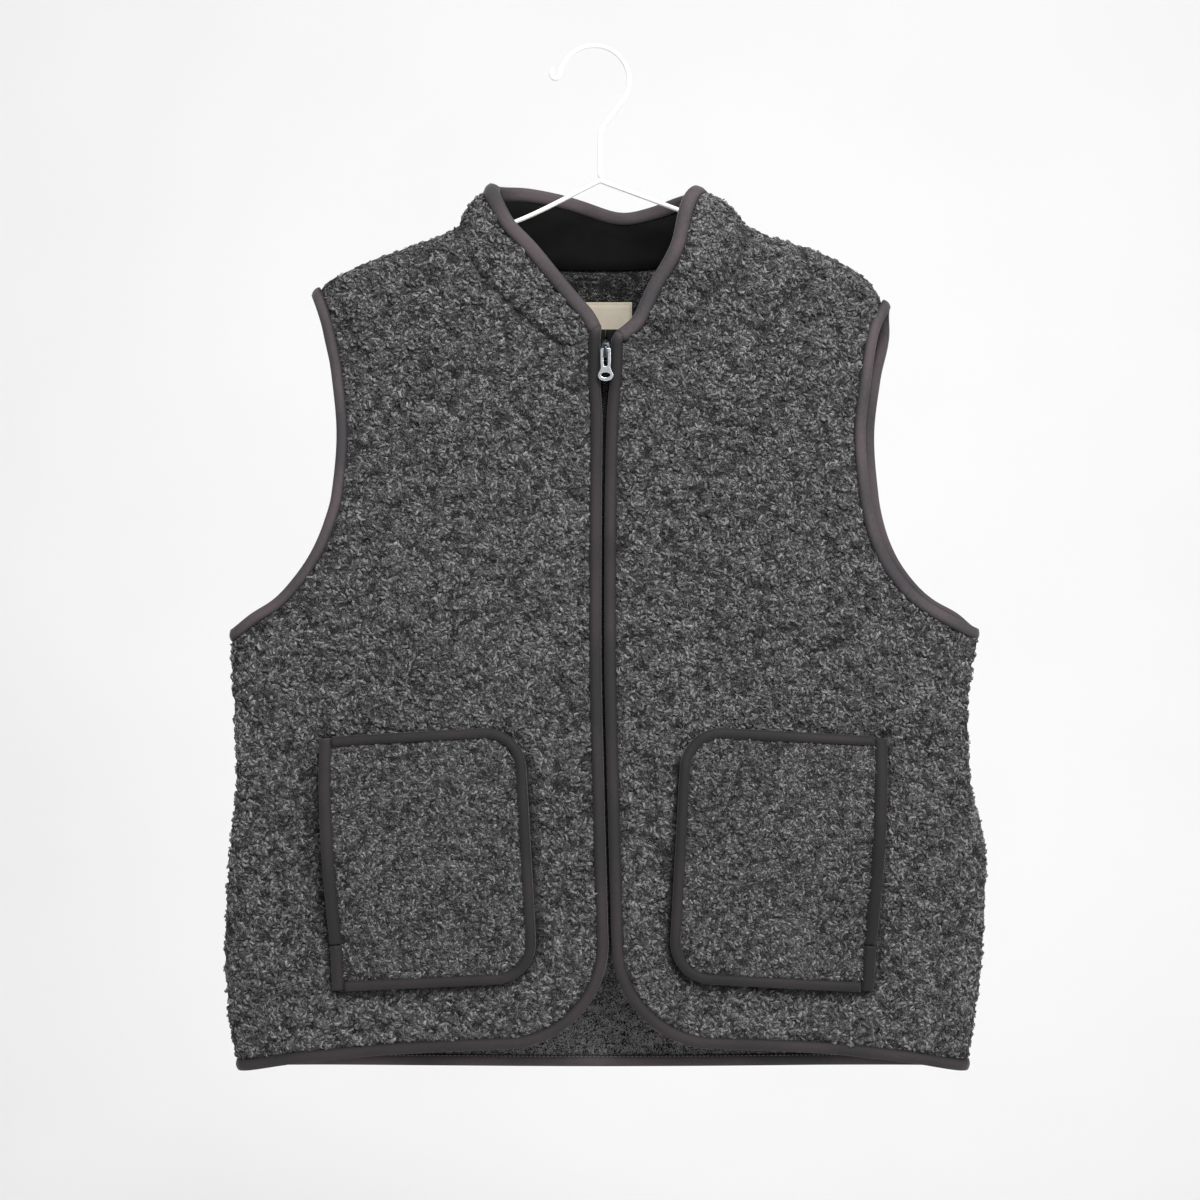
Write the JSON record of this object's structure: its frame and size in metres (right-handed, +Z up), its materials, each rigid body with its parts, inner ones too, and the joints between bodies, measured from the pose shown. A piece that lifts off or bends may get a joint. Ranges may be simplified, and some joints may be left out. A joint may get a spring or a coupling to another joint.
{
  "type": "wool vest on a wire hanger",
  "caption": "Sleeveless curly wool vest with stand collar, front zip, bound edges and patch pockets, hanging hollow and open on a white wire hanger.",
  "frame": {"origin": "inside of the hook's crown, where the peg that carries the hanger touches it", "axes": "+Z up, -Y out of the front of the vest, +X to the wearer's left"},
  "size_m": [0.5302, 0.0673, 0.7215],
  "materials": {
    "curly_wool": "curly wool pile, matte",
    "binding_tape": "satin woven tape",
    "black_cotton": "matte woven cotton",
    "cream_label": "matte woven cotton",
    "zip_nylon": "matte nylon",
    "slider_gunmetal": "satin",
    "pull_silver": "polished",
    "white_wire": "gloss coating"
  },
  "bodies": {
    "vest": {"front_panel_left": "curly_wool", "front_panel_right": "curly_wool", "back_panel": "curly_wool", "collar": "curly_wool", "pocket_left": "curly_wool", "pocket_right": "curly_wool", "binding_collar": "binding_tape", "binding_front_left": "binding_tape", "binding_front_right": "binding_tape", "binding_hem_back": "binding_tape", "binding_armhole_left": "binding_tape", "binding_armhole_right": "binding_tape", "pocket_binding_left": "binding_tape", "pocket_binding_right": "binding_tape", "pocket_mouth_left": "binding_tape", "pocket_mouth_right": "binding_tape", "pocket_tab_left": "binding_tape", "pocket_tab_right": "binding_tape", "collar_facing": "black_cotton", "neck_label": "cream_label", "zip_tape_left": "zip_nylon", "zip_tape_right": "zip_nylon", "zip_chain": "zip_nylon", "zip_slider": "slider_gunmetal", "hanger_hook": "white_wire", "hanger_arms": "white_wire"},
    "zip_pull": {"zip_pull": "pull_silver"}
  },
  "joints": [
    {"name": "pull_hinge", "type": "hinge", "parent": "vest", "child": "zip_pull", "pos_m": [0.00945, -0.02349, -0.2147], "axis": [-1, 0, 0], "range_deg": [0, 160]}
  ]
}
